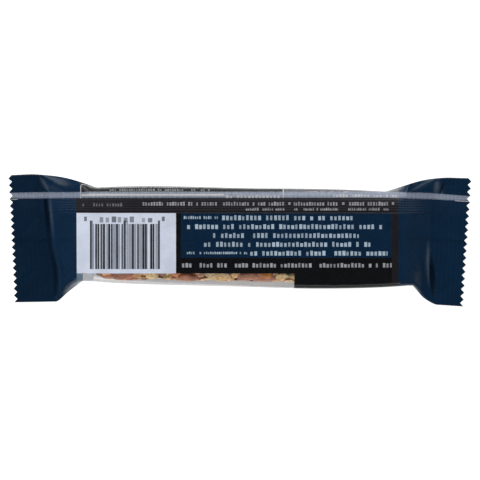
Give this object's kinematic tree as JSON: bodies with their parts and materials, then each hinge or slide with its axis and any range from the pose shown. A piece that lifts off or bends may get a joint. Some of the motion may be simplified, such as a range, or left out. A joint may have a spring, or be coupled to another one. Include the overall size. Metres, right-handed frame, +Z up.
{
  "type": "wrapped granola bar",
  "caption": "Nut granola bar sealed in a dark printed flow-wrap pack with zigzag crimped ends, a folded back fin and a clear window over the nuts.",
  "frame": {"origin": "on the surface that the pack lies on, under the middle of its bounding box", "axes": "+X along the pack, towards the crimp further from the label; +Y across it, towards the side that the back fin is folded to; +Z up, out of the back of the pack"},
  "size_m": [0.1646, 0.047, 0.0145],
  "materials": {
    "printed_film": "satin printed film, dark navy and black, with a white label and a clear window"
  },
  "bodies": {
    "root": {"wrapper": "printed_film"}
  },
  "joints": []
}
